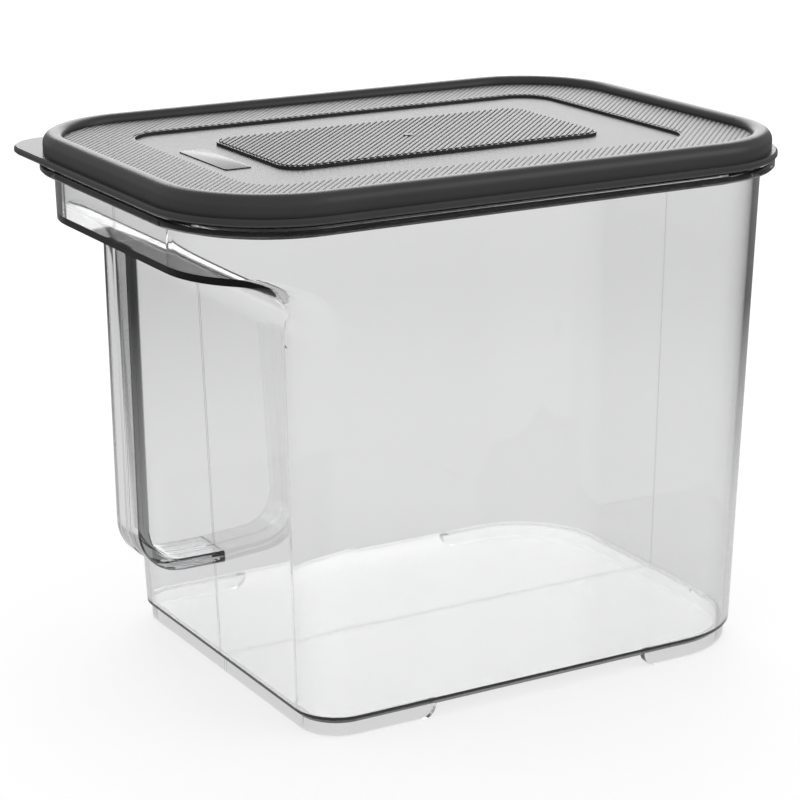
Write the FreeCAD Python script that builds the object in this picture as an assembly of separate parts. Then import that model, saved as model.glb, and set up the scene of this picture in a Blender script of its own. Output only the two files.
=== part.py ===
import FreeCAD, Part
import math
import os
from FreeCAD import Vector

# Dry food container: clear tub with a cut-back handle end, J-shaped handle, press-on lid.
# Millimetres. X runs along the long side, the handle end is -X, Z is up, the floor is Z = 0.

# Rim and overall height
RIM_LENGTH = 215.0
RIM_WIDTH = 151.0
RIM_CORNER = 38.0
HEIGHT = 172.0

# Tub walls
WALL = 2.0
FLOOR = 2.4
FOOT_HEIGHT = 4.5
RIM_LIP = 9.0
FLANGE_THICK = 2.8
FLANGE_OUT = 4.5
FLANGE_EDGE = 0.7
END_LEAN = 2.5
SIDE_LEAN = 4.5
BASE_EDGE = 1.9

# Cut-back end under the overhang
RECESS_BASE = 30.1
RECESS_LEAN = 6.2
RECESS_CORNER = 14.4
OVERHANG = 15.2
LEDGE_COVE = 18.3
RUNOUT_EDGE = 0.4
JOIN = 4.0

# Feet, one U under each short end
FOOT_INSET = 1.5
FOOT_WALL = 2.6
FOOT_LEG_NEAR = 36.0
FOOT_LEG_FAR = 43.0
FOOT_TOE = 5.0

# Handle bar
HANDLE_WIDTH = 17.0
HANDLE_THICK = 3.8
HANDLE_LOW = 41.3
HANDLE_BEND = 15.0
HANDLE_EDGE = 0.6
GROOVE_WIDTH = 2.4
GROOVE_DEPTH = 0.7

# Lid
LID_GAP = 0.6
LID_FLANGE_OUT = 0.7
LID_FLANGE_THICK = 2.2
LID_FLANGE_EDGE = 0.6
LID_SIDE_IN = 1.2
LID_SKIN = 1.6
BEAD_OUTER_ROUND = 3.4
BEAD_INNER_ROUND = 2.4
BEAD_WIDTH = 6.4
BEAD_RISE = 2.6
PANEL = 2.2
RING_DEPTH = 0.9
RING_END_IN = 29.5
RING_SIDE_IN = 28.5
RING_CORNER = 12.0
CENTRE_IN = 20.5
CENTRE_CORNER = 7.0
PULL_CORNER = 15.0
LID_CAP = 3.0
PLUG_DEPTH = 10.5
PLUG_WALL = 1.6
PLUG_CLEAR = 0.4

# Derived
RIM_X = RIM_LENGTH / 2
RIM_Y = RIM_WIDTH / 2
SEAT_Z = HEIGHT - LID_CAP
FLANGE_Z = SEAT_Z - RIM_LIP
LEDGE_Z = FLANGE_Z - OVERHANG
WALL_CORNER = RIM_CORNER - FLANGE_OUT
RISE = FLANGE_Z - FOOT_HEIGHT
LEAN = RECESS_LEAN / RISE
LEAN_LENGTH = math.hypot(1.0, LEAN)
RECESS_X = -(RIM_X - FLANGE_OUT - END_LEAN) + RECESS_BASE
LID_FLANGE_Z = FLANGE_Z + FLANGE_THICK + LID_GAP
FIELD_Z = HEIGHT - BEAD_RISE
MARGIN = 20.0
NEAR = 1e-3


def outline(left, right, half, radii, z):
    """Closed outline of lines and corner arcs; radii go front right, back right, back left, front left."""
    signs = ((1, -1, -90.0), (1, 1, 0.0), (-1, 1, 90.0), (-1, -1, 180.0))
    arcs = []
    for (sx, sy, start), r in zip(signs, radii):
        cx = right - r if sx > 0 else left + r
        cy = sy * (half - r)
        points = []
        for turn in (0.0, 45.0, 90.0):
            a = math.radians(start + turn)
            points.append(Vector(cx + r * math.cos(a), cy + r * math.sin(a), z))
        arcs.append(points)
    edges = []
    for i, points in enumerate(arcs):
        edges.append(Part.Arc(*points).toShape())
        edges.append(Part.makeLine(points[2], arcs[(i + 1) % 4][0]))
    return Part.Wire(edges)


def rim_block(inset, low, high, pull=None):
    """Upright block on the rim outline moved in by inset; pull gives the back left corner its own radius."""
    r = RIM_CORNER - inset
    radii = (r, r, pull if pull else r, r)
    wire = outline(-RIM_X + inset, RIM_X - inset, RIM_Y - inset, radii, low)
    return Part.Face(wire).extrude(Vector(0, 0, high - low))


def panel_block(inset, r, low, high):
    """Upright block on the outer edge of the lid's smooth ring, moved in by inset."""
    x = RIM_X - RING_END_IN - inset
    wire = outline(-x, x, RIM_Y - RING_SIDE_IN - inset, (r, r, r, r), low)
    return Part.Face(wire).extrude(Vector(0, 0, high - low))


def level_edges(shape, z):
    """Edges that lie flat at height z."""
    return [e for e in shape.Edges if abs(e.BoundBox.ZMin - z) < NEAR and abs(e.BoundBox.ZMax - z) < NEAR]


def cross_prism(edges):
    """Prism along Y through the whole width from a closed side profile."""
    face = Part.Face(Part.Wire(edges))
    face.translate(Vector(0, -RIM_WIDTH, 0))
    return face.extrude(Vector(0, 2 * RIM_WIDTH, 0))


def walls(z, inset):
    """Half length and half width of the leaning walls at height z."""
    t = (FLANGE_Z - z) / RISE
    return RIM_X - FLANGE_OUT - END_LEAN * t - inset, RIM_Y - FLANGE_OUT - SIDE_LEAN * t - inset


def recess_x(z, inset):
    """Where the cut-back wall stands at height z."""
    return RECESS_X - LEAN * (z - FOOT_HEIGHT) + inset * LEAN_LENGTH


def upright_edges(shape, x_high):
    """Edges that run from bottom to top, as far as x_high."""
    full = shape.BoundBox.ZLength
    return [e for e in shape.Edges if e.BoundBox.ZLength > full - NEAR and e.BoundBox.XMax < x_high]


def leaning_box(inset, low, high):
    """Box with four leaning walls and sharp upright corners."""
    end, half = walls(low, inset)
    end_high, half_high = walls(high, inset)
    box = Part.makeWedge(-end, low, -half, -half_high, -end_high, end, high, half, half_high, end_high)
    return box.rotate(Vector(0, 0, 0), Vector(1, 0, 0), 90)


def cut_back(inset, low):
    """Space under the overhang: cut-back wall, cove and ledge, through the whole width."""
    tilt = math.atan(LEAN)
    cove_z = LEDGE_Z - LEDGE_COVE
    cove_x = recess_x(cove_z, 0.0) - LEDGE_COVE * LEAN_LENGTH
    r = LEDGE_COVE + inset

    def on_cove(angle):
        return Vector(cove_x + r * math.cos(angle), 0, cove_z + r * math.sin(angle))

    top = on_cove(math.pi / 2)
    foot = on_cove(tilt)
    far = Vector(-RIM_LENGTH, 0, top.z)
    bottom = Vector(recess_x(low - MARGIN, inset), 0, low - MARGIN)
    far_bottom = Vector(far.x, 0, bottom.z)
    space = cross_prism([
        Part.makeLine(far, top),
        Part.Arc(top, on_cove((tilt + math.pi / 2) / 2), foot).toShape(),
        Part.makeLine(foot, bottom),
        Part.makeLine(bottom, far_bottom),
        Part.makeLine(far_bottom, far),
    ])
    return space, foot.z, top.z


def cove_edge(half, start, ledge):
    """Sharp edge along the outside of the cove on a front half."""
    for edge in half.Edges:
        box = edge.BoundBox
        if abs(box.ZMin - start) < NEAR and abs(box.ZMax - ledge) < NEAR and box.YMax < -NEAR:
            return edge


def cove_trim(body, inset, start, ledge):
    """What a rounding that tightens up to the ledge takes off beside the cove, at the front corner."""
    half = body.common(Part.makeBox(RIM_LENGTH, RIM_WIDTH, 2 * HEIGHT, Vector(-RIM_LENGTH, -RIM_WIDTH, 0)))
    rounded = half.makeFillet(RUNOUT_EDGE, RECESS_CORNER - inset, [cove_edge(half, start, ledge)])
    left = recess_x(start, 0.0) - LEDGE_COVE
    beside = Part.makeBox(-left, RIM_WIDTH, ledge - start + JOIN, Vector(left, -RIM_WIDTH, start - JOIN))
    return half.common(beside).cut(rounded)


def corner_trim(upper, inset, low, start):
    """What an even rounding takes off the upright corner, from the foot of the cove's trim to the base."""
    arc = max(level_edges(upper, start - JOIN), key=lambda edge: edge.Length)
    ends = sorted((vertex.Point for vertex in arc.Vertexes), key=lambda point: point.x)
    r = RECESS_CORNER - inset
    side = Vector(recess_x(low, inset), r - walls(low, inset)[1], low)
    front = side + Vector(r, -r, 0)
    middle = side + Vector(r, 0, 0) - Vector(r, r, 0) * math.sqrt(0.5)
    sections = []
    for curve, p, q in ((arc, *ends), (Part.Arc(side, middle, front).toShape(), side, front)):
        p_out = p - Vector(MARGIN, 0, 0)
        q_out = q - Vector(0, MARGIN, 0)
        corner = Vector(p_out.x, q_out.y, p.z)
        path = Part.makePolygon([q, q_out, corner, p_out, p])
        sections.append(Part.Wire([curve] + path.Edges))
    return Part.makeLoft(sections, True, True)


def vessel(inset, low, high):
    """Solid in the shape of the tub with every face moved in by inset."""
    space, start, ledge = cut_back(inset, low)
    body = leaning_box(inset, low, high)
    body = body.makeFillet(WALL_CORNER - inset, upright_edges(body, RIM_LENGTH))
    body = body.cut(space)
    upper = cove_trim(body, inset, start, ledge)
    trims = [upper, corner_trim(upper, inset, low, start)]
    trims += [trim.mirror(Vector(0, 0, 0), Vector(0, 1, 0)) for trim in trims]
    return body.cut(trims).removeSplitter()


def feet(top):
    """Two U-shaped ribs that follow the base, cut away along the middle of the long sides."""
    end, half = walls(FOOT_HEIGHT, FOOT_INSET)
    corner = WALL_CORNER - FOOT_INSET
    left = recess_x(FOOT_HEIGHT, FOOT_INSET)
    r_left = RECESS_CORNER - FOOT_INSET
    blocks = []
    for inset in (0.0, FOOT_WALL):
        radii = (corner - inset, corner - inset, r_left - inset, r_left - inset)
        wire = outline(left + inset, end - inset, half - inset, radii, 0.0)
        blocks.append(Part.Face(wire).extrude(Vector(0, 0, top)))
    ring = blocks[0].cut(blocks[1])
    a = left + FOOT_LEG_NEAR
    b = end - FOOT_LEG_FAR
    mid = FOOT_TOE * math.sqrt(0.5)
    drop = FOOT_HEIGHT * (1 - math.sqrt(0.5))
    a_top = Vector(a + FOOT_TOE, 0, FOOT_HEIGHT)
    b_top = Vector(b - FOOT_TOE, 0, FOOT_HEIGHT)
    lift = Vector(0, 0, MARGIN)
    gap = cross_prism([
        Part.Arc(Vector(a, 0, 0), Vector(a + mid, 0, drop), a_top).toShape(),
        Part.makeLine(a_top, a_top + lift),
        Part.makeLine(a_top + lift, b_top + lift),
        Part.makeLine(b_top + lift, b_top),
        Part.Arc(b_top, Vector(b - mid, 0, drop), Vector(b, 0, 0)).toShape(),
        Part.makeLine(Vector(b, 0, 0), Vector(b, 0, -MARGIN)),
        Part.makeLine(Vector(b, 0, -MARGIN), Vector(a, 0, -MARGIN)),
        Part.makeLine(Vector(a, 0, -MARGIN), Vector(a, 0, 0)),
    ])
    return ring.cut(gap)


def handle_bar(thick, width):
    """J-shaped bar on the line of the end wall, running into the overhang and through the cut-back wall."""
    lean = END_LEAN / RISE

    def face_x(z):
        return -(RIM_X - FLANGE_OUT) + lean * (FLANGE_Z - z)

    z_top = LEDGE_Z + MARGIN / 4
    z_bend = HANDLE_LOW + HANDLE_BEND
    x_bend = face_x(z_bend)
    cx = x_bend + HANDLE_BEND
    reach = RECESS_X + MARGIN

    def bend(r, angle):
        return Vector(cx + r * math.cos(angle), 0, z_bend + r * math.sin(angle))

    r_in = HANDLE_BEND - thick
    side = math.pi
    corner = math.pi * 1.25
    under = math.pi * 1.5
    outer_top = Vector(face_x(z_top), 0, z_top)
    inner_top = Vector(face_x(z_top) + thick, 0, z_top)
    outer_end = Vector(reach, 0, HANDLE_LOW)
    inner_end = Vector(reach, 0, HANDLE_LOW + thick)
    edges = [
        Part.makeLine(outer_top, bend(HANDLE_BEND, side)),
        Part.Arc(bend(HANDLE_BEND, side), bend(HANDLE_BEND, corner), bend(HANDLE_BEND, under)).toShape(),
        Part.makeLine(bend(HANDLE_BEND, under), outer_end),
        Part.makeLine(outer_end, inner_end),
        Part.makeLine(inner_end, bend(r_in, under)),
        Part.Arc(bend(r_in, under), bend(r_in, corner), bend(r_in, side)).toShape(),
        Part.makeLine(bend(r_in, side), inner_top),
        Part.makeLine(inner_top, outer_top),
    ]
    face = Part.Face(Part.Wire(edges))
    face.translate(Vector(0, -width / 2, 0))
    return face.extrude(Vector(0, width, 0))


def side_edges(shape, width):
    """Long edges of the bar along its two side faces, without the cut ends."""
    found = []
    for edge in shape.Edges:
        box = edge.BoundBox
        on_side = box.YLength < NEAR and abs(abs(box.YMin) - width / 2) < NEAR
        if on_side and edge.Length > 1.5 * HANDLE_THICK:
            found.append(edge)
    return found


# Tub: solid outer form, flange and feet joined on, then the inside taken out.
outer = vessel(0.0, FOOT_HEIGHT, SEAT_Z)
outer = outer.makeChamfer(BASE_EDGE, level_edges(outer, FOOT_HEIGHT))
inner = vessel(WALL, FOOT_HEIGHT + FLOOR, SEAT_Z + MARGIN)
flange = rim_block(0.0, FLANGE_Z, FLANGE_Z + FLANGE_THICK)
flange_edges = level_edges(flange, FLANGE_Z) + level_edges(flange, FLANGE_Z + FLANGE_THICK)
flange = flange.makeChamfer(FLANGE_EDGE, flange_edges)
tub = outer.fuse([flange, feet(FOOT_HEIGHT + FLOOR / 2)])
tub = tub.cut(inner).removeSplitter()

# Handle: grooved bar, trimmed where it meets the tub.
bar = handle_bar(HANDLE_THICK, HANDLE_WIDTH)
bar = bar.makeChamfer(HANDLE_EDGE, side_edges(bar, HANDLE_WIDTH))
bar = bar.cut(handle_bar(GROOVE_DEPTH, GROOVE_WIDTH))
handle = bar.cut(outer)

# Lid: flange with the pull corner, beaded block, plug skirt; hollowed from below for the rim.
lid_flange = rim_block(-LID_FLANGE_OUT, LID_FLANGE_Z, LID_FLANGE_Z + LID_FLANGE_THICK, PULL_CORNER)
lid_edges = level_edges(lid_flange, LID_FLANGE_Z) + level_edges(lid_flange, LID_FLANGE_Z + LID_FLANGE_THICK)
lid_flange = lid_flange.makeChamfer(LID_FLANGE_EDGE, lid_edges)

field_in = LID_SIDE_IN + BEAD_WIDTH
bead = rim_block(LID_SIDE_IN, LID_FLANGE_Z, HEIGHT)
bead = bead.makeFillet(BEAD_OUTER_ROUND, level_edges(bead, HEIGHT))
bead = bead.cut(rim_block(field_in, FIELD_Z, HEIGHT + MARGIN))
crest = []
for edge in level_edges(bead, HEIGHT):
    if edge.BoundBox.XMax < RIM_X - field_in + NEAR and edge.BoundBox.YMax < RIM_Y - field_in + NEAR:
        crest.append(edge)
bead = bead.makeFillet(BEAD_INNER_ROUND, crest)

ring = panel_block(0.0, RING_CORNER, FIELD_Z - RING_DEPTH, HEIGHT)
ring = ring.cut(panel_block(CENTRE_IN, CENTRE_CORNER, FIELD_Z - RING_DEPTH, HEIGHT))

plug_in = FLANGE_OUT + WALL + PLUG_CLEAR
plug_low = SEAT_Z - PLUG_DEPTH
plug = rim_block(plug_in, plug_low, FIELD_Z - PANEL)
channel = rim_block(LID_SIDE_IN + LID_SKIN, plug_low - MARGIN, SEAT_Z)
channel = channel.cut(rim_block(plug_in, plug_low - MARGIN, SEAT_Z))
inside = rim_block(plug_in + PLUG_WALL, plug_low - MARGIN, FIELD_Z - PANEL)

lid = lid_flange.fuse([bead, plug]).cut(channel).cut(inside).cut(ring).removeSplitter()

os.makedirs("parts", exist_ok=True)
for node, shape in (("tub", tub), ("handle", handle), ("lid", lid)):
    print(node, shape.isValid(), len(shape.Solids), round(shape.Volume), shape.BoundBox)
    shape.exportStep("parts/" + node + ".step")
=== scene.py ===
import math

import bpy
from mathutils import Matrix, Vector


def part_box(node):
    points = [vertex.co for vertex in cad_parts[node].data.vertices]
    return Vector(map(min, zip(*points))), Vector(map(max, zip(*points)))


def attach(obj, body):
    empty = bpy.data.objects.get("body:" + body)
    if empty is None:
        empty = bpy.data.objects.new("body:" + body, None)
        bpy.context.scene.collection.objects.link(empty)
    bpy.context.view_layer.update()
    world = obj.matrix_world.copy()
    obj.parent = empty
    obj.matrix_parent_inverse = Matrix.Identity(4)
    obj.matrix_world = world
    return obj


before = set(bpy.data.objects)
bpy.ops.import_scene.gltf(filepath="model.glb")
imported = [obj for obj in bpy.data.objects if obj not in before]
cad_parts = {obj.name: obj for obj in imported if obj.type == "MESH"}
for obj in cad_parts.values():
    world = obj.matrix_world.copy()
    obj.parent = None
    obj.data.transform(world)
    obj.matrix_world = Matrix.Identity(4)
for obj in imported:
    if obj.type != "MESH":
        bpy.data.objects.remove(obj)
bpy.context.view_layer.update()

# Tub: one injection moulding in clear, slightly smoky styrene plastic, with a rim flange and two low feet.
# Its walls are polished, so it is all surface and edge: pale where one looks through two walls,
# and dark where light is led along inside them.
MM = 0.001


def linear(hex_colour):
    """Linear RGBA of an sRGB hex colour."""
    channels = [int(hex_colour[i:i + 2], 16) / 255 for i in (1, 3, 5)]
    return [c / 12.92 if c <= 0.04045 else ((c + 0.055) / 1.055) ** 2.4 for c in channels] + [1.0]


def add_node(tree, kind, settings=None, **inputs):
    """Adds a node, sets its properties, and sets or links its inputs by name."""
    node = tree.nodes.new(kind)
    for name, value in (settings or {}).items():
        setattr(node, name, value)
    for name, value in inputs.items():
        socket = node.inputs[name.replace("_", " ")]
        if isinstance(value, bpy.types.NodeSocket):
            tree.links.new(value, socket)
        else:
            socket.default_value = value
    return node


def new_material(name):
    """An empty node material, its tree and its output node."""
    material = bpy.data.materials.new(name)
    material.use_nodes = True
    material.node_tree.nodes.clear()
    return material, material.node_tree, material.node_tree.nodes.new("ShaderNodeOutputMaterial")


# Clear styrene-acrylonitrile, moulded against polished steel: sharp reflections, with the faint waviness that
# the flow of the melt leaves and a grey tint that deepens with the length of the path.
# The parting line of the mould runs over the middle, drawn wider than the real hair line so that it shows.
SAN_IOR = 1.57
SAN_TINT = "#9a9b9d"
SAN_DENSITY_PER_M = 105.0
SAN_SMOOTHEST = 0.015
SAN_ROUGHEST = 0.045
FLOW_WAVE_MM = 28.0
FLOW_HEIGHT_MM = 0.012
SEAM_WIDTH_MM = 0.5
SEAM_HEIGHT_MM = 0.03

clear_plastic, tree, output = new_material("smoky_clear_san")
place = add_node(tree, "ShaderNodeTexCoord").outputs["Object"]
flow = add_node(
    tree, "ShaderNodeTexNoise", Vector=place, Scale=1 / (FLOW_WAVE_MM * MM), Detail=1.0,
).outputs["Fac"]
wave = add_node(tree, "ShaderNodeBump", Height=flow, Strength=1.0, Distance=FLOW_HEIGHT_MM * MM)
across = add_node(tree, "ShaderNodeSeparateXYZ", Vector=place).outputs["Y"]
off_seam = add_node(tree, "ShaderNodeMath", {"operation": "ABSOLUTE"}, Value=across).outputs["Value"]
seam = add_node(
    tree, "ShaderNodeMapRange", {"interpolation_type": "SMOOTHSTEP"},
    Value=off_seam, From_Max=SEAM_WIDTH_MM / 2 * MM, To_Min=1.0, To_Max=0.0,
)
seamed = add_node(
    tree, "ShaderNodeBump", Height=seam.outputs["Result"], Strength=1.0,
    Distance=SEAM_HEIGHT_MM * MM, Normal=wave.outputs["Normal"],
)
gloss = add_node(tree, "ShaderNodeMapRange", Value=flow, To_Min=SAN_SMOOTHEST, To_Max=SAN_ROUGHEST)
surface = add_node(
    tree, "ShaderNodeBsdfPrincipled",
    Base_Color=linear("#ffffff"), Roughness=gloss.outputs["Result"], IOR=SAN_IOR,
    Transmission_Weight=1.0, Normal=seamed.outputs["Normal"],
)
tint = add_node(tree, "ShaderNodeVolumeAbsorption", Color=linear(SAN_TINT), Density=SAN_DENSITY_PER_M)
tree.links.new(surface.outputs["BSDF"], output.inputs["Surface"])
tree.links.new(tint.outputs["Volume"], output.inputs["Volume"])

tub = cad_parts["tub"]
tub.material_slots[0].material = clear_plastic

# Handle: a flat bar with a groove down its outer face, in the same clear plastic and moulded with the tub.
# It hangs from the overhang and turns in to the cut-back wall, with room for the fingers behind it.
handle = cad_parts["handle"]
handle.material_slots[0].material = clear_plastic

# Lid: one moulding in dark grey polypropylene, pressed over the tub's rim and lifted off by its pull corner.
# A bead runs round its edge, and the top inside the bead is sunk below it.
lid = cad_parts["lid"]

# The polypropylene is moulded against fine spark-eroded steel: dark, with a soft sheen at low angles.
# Its grit is drawn coarser than it really is, so that it shows.
PP_IOR = 1.49
PP_DARKER = "#2c2c2d"
PP_LIGHTER = "#333334"
GRIT_MM = 0.35
GRIT_HEIGHT_MM = 0.012
CLOUD_MM = 25.0


def grey_polypropylene(name, smoothest, roughest):
    """Dark grey polypropylene with a fine grain, at a given range of roughness."""
    material, tree, output = new_material(name)
    place = add_node(tree, "ShaderNodeTexCoord").outputs["Object"]
    grit = add_node(
        tree, "ShaderNodeTexNoise", Vector=place, Scale=1 / (GRIT_MM * MM), Detail=2.0,
    ).outputs["Fac"]
    cloud = add_node(
        tree, "ShaderNodeTexNoise", Vector=place, Scale=1 / (CLOUD_MM * MM), Detail=2.0,
    ).outputs["Fac"]
    shade = add_node(tree, "ShaderNodeValToRGB", Fac=cloud)
    shade.color_ramp.elements[0].color = linear(PP_DARKER)
    shade.color_ramp.elements[1].color = linear(PP_LIGHTER)
    sheen = add_node(tree, "ShaderNodeMapRange", Value=grit, To_Min=smoothest, To_Max=roughest)
    grain = add_node(tree, "ShaderNodeBump", Height=grit, Strength=1.0, Distance=GRIT_HEIGHT_MM * MM)
    surface = add_node(
        tree, "ShaderNodeBsdfPrincipled",
        Base_Color=shade.outputs["Color"], Roughness=sheen.outputs["Result"], IOR=PP_IOR,
        Normal=grain.outputs["Normal"],
    )
    tree.links.new(surface.outputs["BSDF"], output.inputs["Surface"])
    return material


satin_plastic = grey_polypropylene("satin_grey_polypropylene", smoothest=0.32, roughest=0.44)
lid.material_slots[0].material = satin_plastic

# Ribs of the lid: fine rounded ridges, moulded in with it, on the outer field and on the centre panel.
# They run at 45 degrees over both, lower on the field than on the panel, with a smooth ring left between.
LID_FLANGE_OUT = 0.7 * MM
LID_SIDE_IN = 1.2 * MM
BEAD_WIDTH = 6.4 * MM
BEAD_RISE = 2.6 * MM
RIM_CORNER = 38.0 * MM
RING_END_IN = 29.5 * MM
RING_SIDE_IN = 28.5 * MM
RING_CORNER = 12.0 * MM
CENTRE_IN = 20.5 * MM
CENTRE_CORNER = 7.0 * MM
RIB_PITCH = 1.65 * MM
RIB_WIDTH = 1.3 * MM
FIELD_RIB_HEIGHT = 0.2 * MM
CENTRE_RIB_HEIGHT = 0.36 * MM
RIB_SIDES = 16
RIB_EDGE = 0.8 * MM
RIB_ANGLE = math.radians(45)
CORNER_STEPS = 12
SMOOTH_BELOW = math.radians(40)

lid_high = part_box("lid")[1]
rim_x = lid_high.x - LID_FLANGE_OUT
rim_y = lid_high.y - LID_FLANGE_OUT
field_z = lid_high.z - BEAD_RISE


def rounded_block(name, length, width, corner, low, high, x=0.0):
    """Upright block about an upright line at x, with its four upright edges rounded."""
    bpy.ops.object.select_all(action="DESELECT")
    bpy.ops.mesh.primitive_cube_add(size=1.0, location=(x, 0.0, (low + high) / 2))
    block = bpy.context.object
    block.name = name
    block.scale = (length, width, high - low)
    bpy.ops.object.transform_apply()
    bpy.ops.object.mode_set(mode="EDIT")
    bpy.ops.mesh.select_mode(type="EDGE")
    bpy.ops.mesh.select_all(action="DESELECT")
    bpy.ops.object.mode_set(mode="OBJECT")
    for edge in block.data.edges:
        a, b = (block.data.vertices[i].co for i in edge.vertices)
        edge.select = abs(a.z - b.z) > (high - low) / 2
    bpy.ops.object.mode_set(mode="EDIT")
    bpy.ops.mesh.bevel(offset=corner, segments=CORNER_STEPS, affect="EDGES")
    bpy.ops.object.mode_set(mode="OBJECT")
    return block


def trim(piece, block, operation):
    """Keeps or takes away what lies inside the block, which is then gone."""
    cut = piece.modifiers.new("trim", "BOOLEAN")
    cut.operation = operation
    cut.solver = "EXACT"
    cut.object = block
    bpy.ops.object.select_all(action="DESELECT")
    bpy.context.view_layer.objects.active = piece
    piece.select_set(True)
    bpy.ops.object.modifier_apply(modifier=cut.name)
    bpy.data.objects.remove(block)


def rib_sheet(name, height):
    """Low parallel ridges on the slant, half sunk, over more than the whole lid."""
    reach = 2 * (rim_x + rim_y)
    count = math.ceil(reach / math.sqrt(2) / RIB_PITCH)
    bpy.ops.object.select_all(action="DESELECT")
    bpy.ops.mesh.primitive_cylinder_add(
        vertices=RIB_SIDES, radius=1.0, depth=reach, rotation=(0.0, math.radians(90), 0.0),
    )
    ridge = bpy.context.object
    ridge.name = name
    bpy.ops.object.transform_apply()
    ridge.scale = (1.0, RIB_WIDTH / 2, height)
    bpy.ops.object.transform_apply()
    rows = ridge.modifiers.new("rows", "ARRAY")
    rows.count = count
    rows.use_relative_offset = False
    rows.use_constant_offset = True
    rows.constant_offset_displace = (0.0, RIB_PITCH, 0.0)
    bpy.ops.object.modifier_apply(modifier=rows.name)
    half = (count - 1) * RIB_PITCH / 2
    ridge.rotation_euler.z = RIB_ANGLE
    ridge.location = (half * math.sin(RIB_ANGLE), -half * math.cos(RIB_ANGLE), field_z)
    bpy.ops.object.transform_apply()
    return ridge


def finish_on_lid(piece, material):
    """Gives a new piece of the lid its finish, and its place on the moving cover."""
    bpy.ops.object.select_all(action="DESELECT")
    bpy.context.view_layer.objects.active = piece
    piece.select_set(True)
    bpy.ops.object.shade_smooth_by_angle(angle=SMOOTH_BELOW)
    piece.data.materials.clear()
    piece.data.materials.append(material)
    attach(piece, "cover")


low = field_z - BEAD_RISE / 2
high = lid_high.z
field_in = LID_SIDE_IN + BEAD_WIDTH + RIB_EDGE
field_length = 2 * (rim_x - field_in)
field_width = 2 * (rim_y - field_in)
ring_length = 2 * (rim_x - RING_END_IN)
ring_width = 2 * (rim_y - RING_SIDE_IN)

field_ribs = rib_sheet("lid_field_ribs", FIELD_RIB_HEIGHT)
outer_edge = rounded_block("edge", field_length, field_width, RIM_CORNER - field_in, low, high)
trim(field_ribs, outer_edge, "INTERSECT")
grow = 2 * RIB_EDGE
inner_edge = rounded_block("edge", ring_length + grow, ring_width + grow, RING_CORNER + RIB_EDGE, low, high)
trim(field_ribs, inner_edge, "DIFFERENCE")
finish_on_lid(field_ribs, satin_plastic)

centre_ribs = rib_sheet("lid_centre_ribs", CENTRE_RIB_HEIGHT)
shrink = 2 * (CENTRE_IN + RIB_EDGE)
centre_length = ring_length - shrink
centre_width = ring_width - shrink
centre_edge = rounded_block("edge", centre_length, centre_width, CENTRE_CORNER - RIB_EDGE, low, high)
trim(centre_ribs, centre_edge, "INTERSECT")
finish_on_lid(centre_ribs, satin_plastic)

# Plate on the smooth ring at the handle end: a low field with soft edges, moulded with the lid and left bare.
# Its steel is smoother than the rest of the mould, so it takes a sharper sheen than the ring around it.
RING_DEPTH = 0.9 * MM
PLATE_X = -68.5 * MM
PLATE_LENGTH = 9.0 * MM
PLATE_WIDTH = 33.0 * MM
PLATE_CORNER = 1.2 * MM
PLATE_RISE = 0.35 * MM
PLATE_EDGE = 0.2 * MM
EDGE_STEPS = 2


def soften(piece, width):
    """Rounds the sharp edges of the piece just made."""
    rounding = piece.modifiers.new("rounding", "BEVEL")
    rounding.width = width
    rounding.segments = EDGE_STEPS
    bpy.ops.object.modifier_apply(modifier=rounding.name)


polished_plastic = grey_polypropylene("polished_grey_polypropylene", smoothest=0.26, roughest=0.34)
ring_z = field_z - RING_DEPTH
plate = rounded_block(
    "lid_plate", PLATE_LENGTH, PLATE_WIDTH, PLATE_CORNER, ring_z - PLATE_RISE, ring_z + PLATE_RISE, PLATE_X,
)
soften(plate, PLATE_EDGE)
finish_on_lid(plate, polished_plastic)

# Gate mark in the middle of the lid: the low round button that is left where the melt came into the mould.
# It is of the lid's own satin polypropylene and stands a little above the ribs.
GATE_RADIUS = 1.6 * MM
GATE_RISE = 0.5 * MM
GATE_EDGE = 0.15 * MM
GATE_SIDES = 32

bpy.ops.object.select_all(action="DESELECT")
bpy.ops.mesh.primitive_cylinder_add(
    vertices=GATE_SIDES, radius=GATE_RADIUS, depth=2 * GATE_RISE, location=(0.0, 0.0, field_z),
)
gate = bpy.context.object
gate.name = "lid_gate_mark"
bpy.ops.object.transform_apply()
soften(gate, GATE_EDGE)
finish_on_lid(gate, satin_plastic)

# Floor: a plain pale sweep, lit to white, that keeps the object's soft shadow.
# It is white wherever it is seen, also through the clear walls; mirrored, it is white only near the object.
FLOOR_SIZE = 12.0
FLOOR_COLOUR = "#8c8c8c"
FLOOR_GLOW = 0.74
FLOOR_NEAR = 0.2
FLOOR_FAR = 0.5
DIM_SIDE = 0.06

white_floor, tree, output = new_material("white_studio_floor")
matt = add_node(tree, "ShaderNodeBsdfDiffuse", Color=linear(FLOOR_COLOUR))
place = add_node(tree, "ShaderNodeTexCoord").outputs["Object"]
away = add_node(tree, "ShaderNodeVectorMath", {"operation": "LENGTH"}, Vector=place).outputs["Value"]
mirrored = add_node(
    tree, "ShaderNodeMapRange", Value=away,
    From_Min=FLOOR_NEAR, From_Max=FLOOR_FAR, To_Min=FLOOR_GLOW, To_Max=FLOOR_GLOW * DIM_SIDE,
).outputs["Result"]
bounces = add_node(tree, "ShaderNodeLightPath").outputs["Glossy Depth"]
level = add_node(
    tree, "ShaderNodeMapRange", Value=bounces, To_Min=FLOOR_GLOW, To_Max=mirrored,
).outputs["Result"]
lit = add_node(tree, "ShaderNodeEmission", Color=linear("#ffffff"), Strength=level)
both = add_node(tree, "ShaderNodeAddShader")
tree.links.new(matt.outputs["BSDF"], both.inputs[0])
tree.links.new(lit.outputs["Emission"], both.inputs[1])
tree.links.new(both.outputs["Shader"], output.inputs["Surface"])

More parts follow.
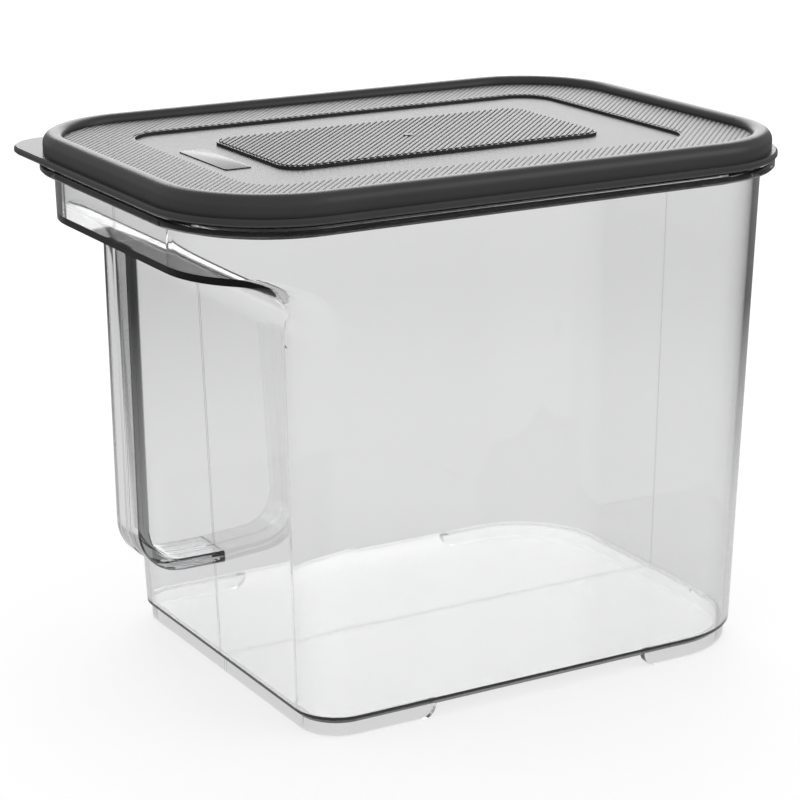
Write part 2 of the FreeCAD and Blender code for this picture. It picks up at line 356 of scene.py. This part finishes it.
bpy.ops.object.select_all(action="DESELECT")
bpy.ops.mesh.primitive_plane_add(size=FLOOR_SIZE)
floor = bpy.context.object
floor.name = "floor"
floor.data.materials.append(white_floor)

# Room: white surroundings, seen directly or through the clear walls.
# Mirrored by an outer face, the room is less bright than its backdrop, and light that is led along inside
# the clear plastic comes from its dim sides.
ROOM_MIRRORED = 0.4

world = bpy.data.worlds.new("white_studio")
bpy.context.scene.world = world
world.use_nodes = True
tree = world.node_tree
tree.nodes.clear()
output = tree.nodes.new("ShaderNodeOutputWorld")
rays = add_node(tree, "ShaderNodeLightPath").outputs
room = add_node(
    tree, "ShaderNodeMapRange", Value=rays["Transmission Depth"], To_Min=ROOM_MIRRORED, To_Max=DIM_SIDE,
).outputs["Result"]
level = add_node(
    tree, "ShaderNodeMapRange", Value=rays["Glossy Depth"], To_Min=1.0, To_Max=room,
).outputs["Result"]
backdrop = add_node(tree, "ShaderNodeBackground", Color=linear("#ffffff"), Strength=level)
tree.links.new(backdrop.outputs["Background"], output.inputs["Surface"])

# Camera: at the photograph's viewing angle, with the long lens that its straight edges ask for.
# It faces a point near the middle of the object, which the lights face too.
VIEW_AZIMUTH = -30.25
VIEW_ELEVATION = 16.63
VIEW_DISTANCE = 838.25 * MM
VIEW_TARGET = Vector((-2.25, 1.45, 81.69)) * MM
LENS_MM = 115.09


def face_object(thing, azimuth, elevation, distance):
    """Puts a camera or a light round the object, at azimuth 0 in front of it, and turns it to the target."""
    a = math.radians(azimuth)
    e = math.radians(elevation)
    back = Vector((math.sin(a) * math.cos(e), -math.cos(a) * math.cos(e), math.sin(e)))
    thing.location = VIEW_TARGET + back * distance
    thing.rotation_euler = back.to_track_quat("Z", "Y").to_euler()
    bpy.context.scene.collection.objects.link(thing)


camera = bpy.data.objects.new("camera", bpy.data.cameras.new("camera"))
camera.data.lens = LENS_MM
face_object(camera, VIEW_AZIMUTH, VIEW_ELEVATION, VIEW_DISTANCE)
bpy.context.scene.camera = camera
bpy.context.scene.view_settings.view_transform = "Standard"


# Lights: a large soft light low behind the object, whose sheen over the lid shows the ribs, and a weaker one
# in front to one side, which shapes the bead and lights the lid for views from behind.
def soft_light(name, azimuth, elevation, distance, size, watts):
    """A square soft light that faces the object."""
    lamp = bpy.data.lights.new(name, "AREA")
    lamp.size = size
    lamp.energy = watts
    face_object(bpy.data.objects.new(name, lamp), azimuth, elevation, distance)


soft_light("back_softbox", VIEW_AZIMUTH + 180, elevation=20, distance=1.6, size=1.2, watts=13)
soft_light("front_softbox", VIEW_AZIMUTH + 75, elevation=25, distance=1.8, size=1.0, watts=4)
